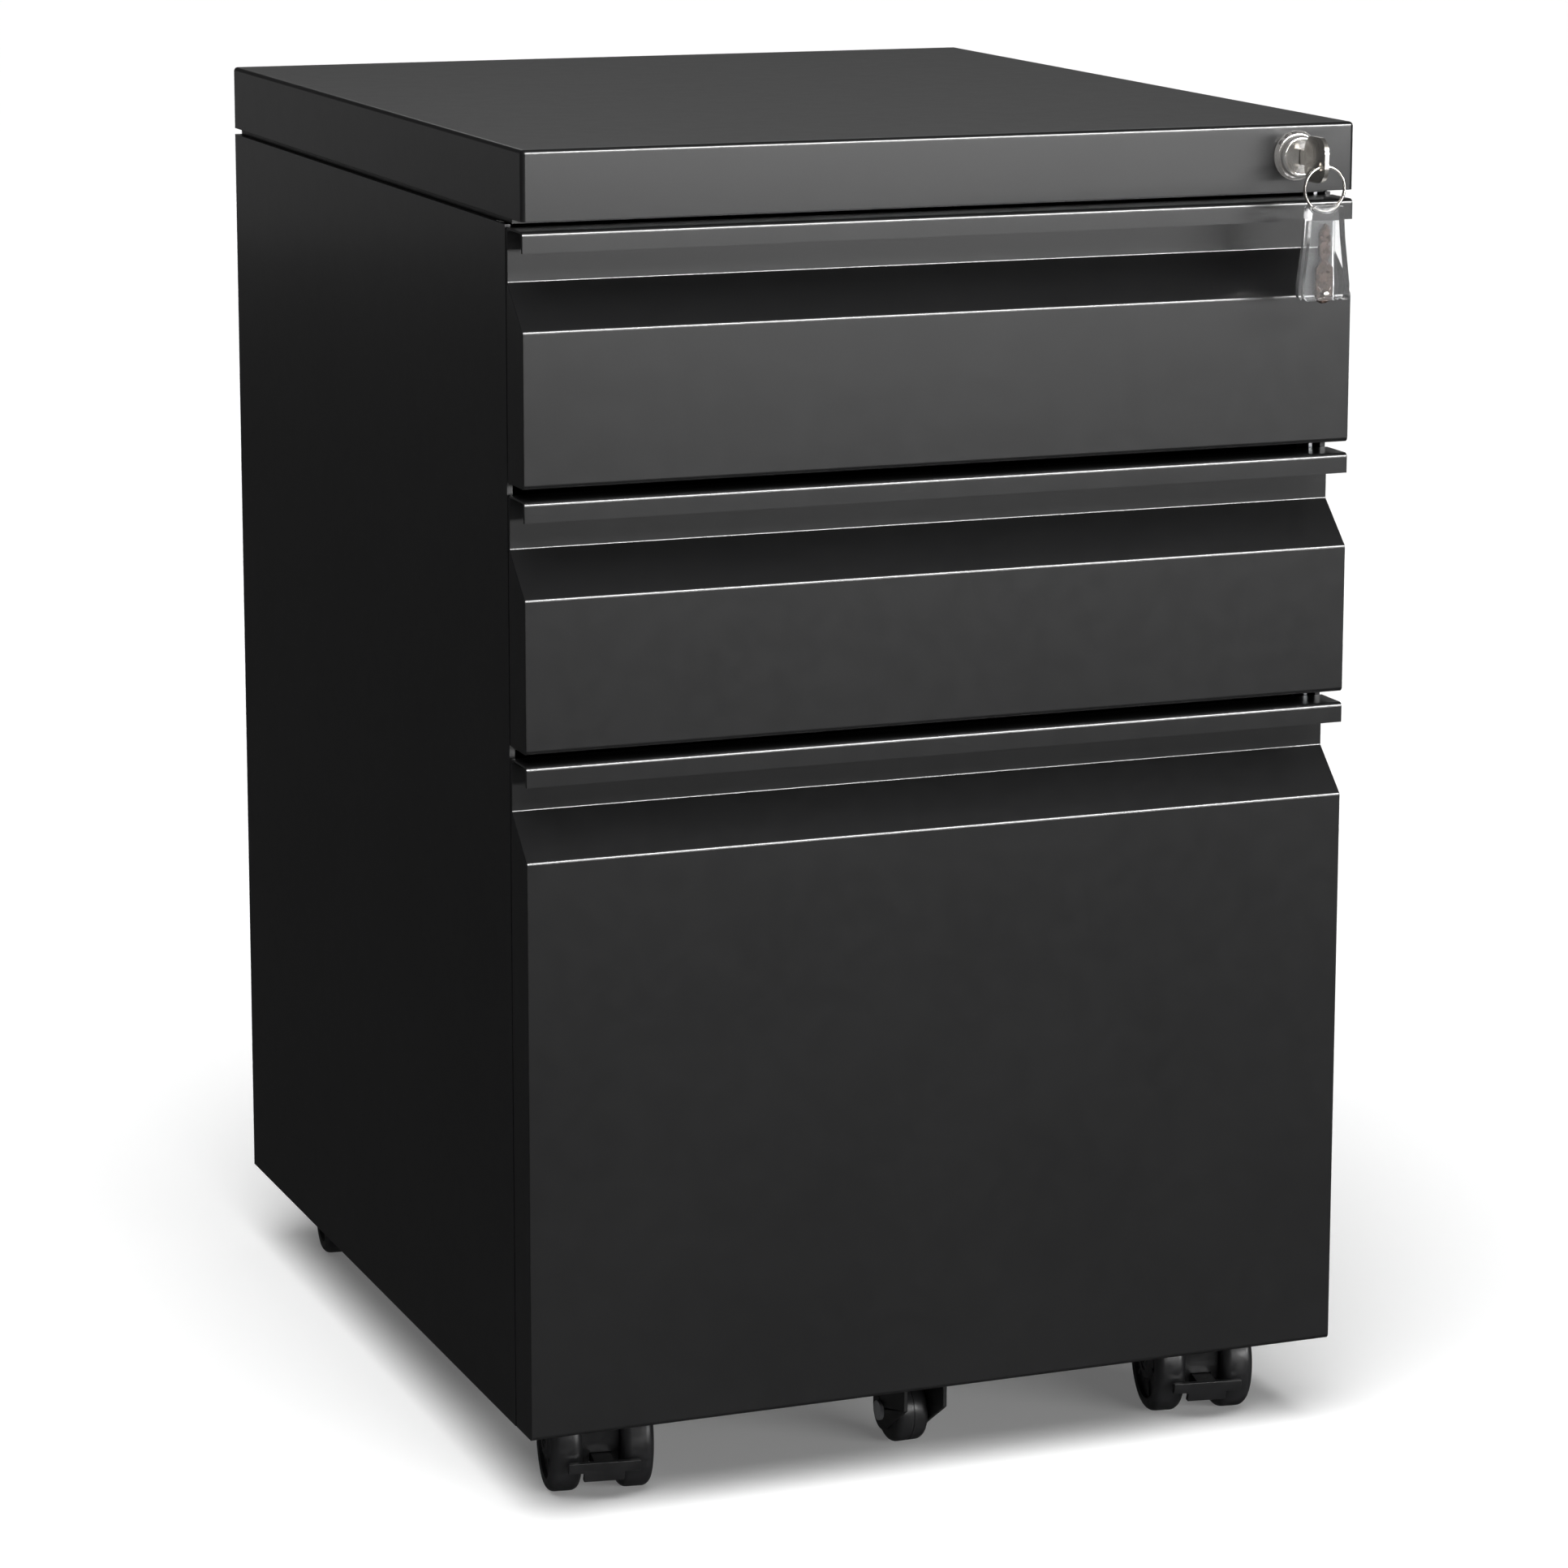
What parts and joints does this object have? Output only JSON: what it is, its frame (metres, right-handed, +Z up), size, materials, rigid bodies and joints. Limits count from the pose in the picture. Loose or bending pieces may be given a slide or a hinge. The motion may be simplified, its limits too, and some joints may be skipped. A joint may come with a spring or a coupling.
{
  "type": "mobile pedestal file cabinet",
  "caption": "Rolling steel pedestal cabinet with recessed-pull drawers, a key lock, braked casters and an anti-tilt wheel under the file drawer.",
  "frame": {"origin": "on the floor, under the middle of the whole object with its key", "axes": "+Z up, -Y out of the drawer fronts, +X to the right as seen from the front"},
  "size_m": [0.386, 0.48, 0.6],
  "materials": {
    "powder_coat_front": "satin black powder coat, fine texture",
    "powder_coat_body": "satin black powder coat, fine texture",
    "powder_coat_inside": "satin black powder coat",
    "zinc_steel": "zinc plated",
    "lock_chrome": "polished",
    "key_nickel": "nickel plated",
    "clear_plastic": "clear moulded plastic",
    "black_nylon": "moulded black nylon",
    "tread": "moulded black nylon tread"
  },
  "bodies": {
    "cabinet": {"right_side_panel": "powder_coat_body", "left_side_panel": "powder_coat_body", "back_panel": "powder_coat_body", "base_panel": "powder_coat_inside", "top_frame": "powder_coat_inside", "top_cover": "powder_coat_body", "caster_nut_plates": "zinc_steel", "caster_stems": "zinc_steel", "runner_outers": "zinc_steel", "lock_housing": "lock_chrome", "lock_nut": "zinc_steel", "lock_bar_guides": "zinc_steel"},
    "top_drawer": {"top_drawer_front": "powder_coat_front", "top_drawer_box": "powder_coat_inside", "top_drawer_catch": "zinc_steel", "top_runner_inners": "zinc_steel"},
    "middle_drawer": {"middle_drawer_front": "powder_coat_front", "middle_drawer_box": "powder_coat_inside", "middle_drawer_catch": "zinc_steel", "middle_runner_inners": "zinc_steel"},
    "file_drawer": {"file_drawer_front": "powder_coat_front", "file_drawer_box": "powder_coat_inside", "file_drawer_catch": "zinc_steel", "file_runner_inners": "zinc_steel", "file_rails": "powder_coat_inside", "anti_tilt_bracket": "powder_coat_inside", "anti_tilt_axle": "zinc_steel"},
    "file_runner": {"file_runner_middles": "zinc_steel"},
    "anti_tilt_roller": {"anti_tilt_wheel": "tread"},
    "lock_cylinder": {"lock_plug": "lock_chrome", "lock_cam": "zinc_steel", "cam_screw": "zinc_steel"},
    "lock_slide": {"lock_bar": "zinc_steel"},
    "front_key": {"key": "key_nickel"},
    "ring": {"key_ring": "key_nickel"},
    "spare_handle": {"spare_key_handle": "clear_plastic", "spare_key_pin": "key_nickel"},
    "spare_key": {"spare_key_blade": "key_nickel"},
    "fork_front_left": {"caster_hood_front_left": "black_nylon", "caster_axle_front_left": "zinc_steel"},
    "wheels_front_left": {"caster_wheels_front_left": "tread"},
    "brake_front_left": {"brake_lever_front_left": "black_nylon"},
    "fork_front_right": {"caster_hood_front_right": "black_nylon", "caster_axle_front_right": "zinc_steel"},
    "wheels_front_right": {"caster_wheels_front_right": "tread"},
    "brake_front_right": {"brake_lever_front_right": "black_nylon"},
    "fork_back_left": {"caster_hood_back_left": "black_nylon", "caster_axle_back_left": "zinc_steel"},
    "wheels_back_left": {"caster_wheels_back_left": "tread"},
    "fork_back_right": {"caster_hood_back_right": "black_nylon", "caster_axle_back_right": "zinc_steel"},
    "wheels_back_right": {"caster_wheels_back_right": "tread"}
  },
  "joints": [
    {"name": "top_drawer_slide", "type": "slide", "parent": "cabinet", "child": "top_drawer", "axis": [0, -1, 0], "range_m": [0, 0.315]},
    {"name": "middle_drawer_slide", "type": "slide", "parent": "cabinet", "child": "middle_drawer", "axis": [0, -1, 0], "range_m": [0, 0.315]},
    {"name": "file_drawer_slide", "type": "slide", "parent": "cabinet", "child": "file_drawer", "axis": [0, -1, 0], "range_m": [0, 0.36]},
    {"name": "file_runner_slide", "type": "slide", "parent": "cabinet", "child": "file_runner", "axis": [0, -1, 0], "range_m": [0, 0.18]},
    {"name": "anti_tilt_spin", "type": "hinge", "parent": "file_drawer", "child": "anti_tilt_roller", "pos_m": [0, -0.163, 0.016], "axis": [1, 0, 0], "continuous": true},
    {"name": "lock_turn", "type": "hinge", "parent": "cabinet", "child": "lock_cylinder", "pos_m": [0.1645, -0.21, 0.586], "axis": [0, 1, 0], "range_deg": [0, 90]},
    {"name": "lock_bar_slide", "type": "slide", "parent": "cabinet", "child": "lock_slide", "axis": [0, 0, -1], "range_m": [0, 0.0114]},
    {"name": "key_withdraw", "type": "slide", "parent": "lock_cylinder", "child": "front_key", "axis": [0, -1, 0], "range_m": [0, 0.03]},
    {"name": "ring_swing", "type": "hinge", "parent": "front_key", "child": "ring", "pos_m": [0.1645, -0.236, 0.58349], "axis": [1, 0, 0], "range_deg": [-45, 4]},
    {"name": "spare_handle_hang", "type": "hinge", "parent": "ring", "child": "spare_handle", "pos_m": [0.1656, -0.236, 0.5739], "axis": [0, 1, 0], "range_deg": [-91, 1]},
    {"name": "spare_key_fold", "type": "hinge", "parent": "spare_handle", "child": "spare_key", "pos_m": [0.1656, -0.236, 0.528], "axis": [0, 1, 0], "range_deg": [-180, 0]},
    {"name": "swivel_front_left", "type": "hinge", "parent": "cabinet", "child": "fork_front_left", "pos_m": [-0.1467, -0.1513, 0.045], "axis": [0, 0, 1], "continuous": true},
    {"name": "wheel_spin_front_left", "type": "hinge", "parent": "fork_front_left", "child": "wheels_front_left", "pos_m": [-0.14948, -0.16706, 0.025], "axis": [0.9848, -0.1736, 0], "continuous": true},
    {"name": "brake_press_front_left", "type": "hinge", "parent": "fork_front_left", "child": "brake_front_left", "pos_m": [-0.14948, -0.16706, 0.025], "axis": [0.9848, -0.1736, 0], "range_deg": [0, 12]},
    {"name": "swivel_front_right", "type": "hinge", "parent": "cabinet", "child": "fork_front_right", "pos_m": [0.1467, -0.1513, 0.045], "axis": [0, 0, 1], "continuous": true},
    {"name": "wheel_spin_front_right", "type": "hinge", "parent": "fork_front_right", "child": "wheels_front_right", "pos_m": [0.14392, -0.16706, 0.025], "axis": [0.9848, -0.1736, 0], "continuous": true},
    {"name": "brake_press_front_right", "type": "hinge", "parent": "fork_front_right", "child": "brake_front_right", "pos_m": [0.14392, -0.16706, 0.025], "axis": [0.9848, -0.1736, 0], "range_deg": [0, 12]},
    {"name": "swivel_back_left", "type": "hinge", "parent": "cabinet", "child": "fork_back_left", "pos_m": [-0.1467, 0.1873, 0.045], "axis": [0, 0, 1], "continuous": true},
    {"name": "wheel_spin_back_left", "type": "hinge", "parent": "fork_back_left", "child": "wheels_back_left", "pos_m": [-0.14447, 0.20314, 0.025], "axis": [-0.9903, 0.1392, 0], "continuous": true},
    {"name": "swivel_back_right", "type": "hinge", "parent": "cabinet", "child": "fork_back_right", "pos_m": [0.1467, 0.1873, 0.045], "axis": [0, 0, 1], "continuous": true},
    {"name": "wheel_spin_back_right", "type": "hinge", "parent": "fork_back_right", "child": "wheels_back_right", "pos_m": [0.14893, 0.20314, 0.025], "axis": [-0.9903, 0.1392, 0], "continuous": true}
  ],
  "couplings": [
    {"joint": "file_runner_slide", "follows": "file_drawer_slide", "ratio": 0.5},
    {"joint": "lock_bar_slide", "follows": "lock_turn", "m_per_rad": 0.0072025},
    {"joint": "spare_handle_hang", "follows": "lock_turn", "ratio": -1}
  ]
}
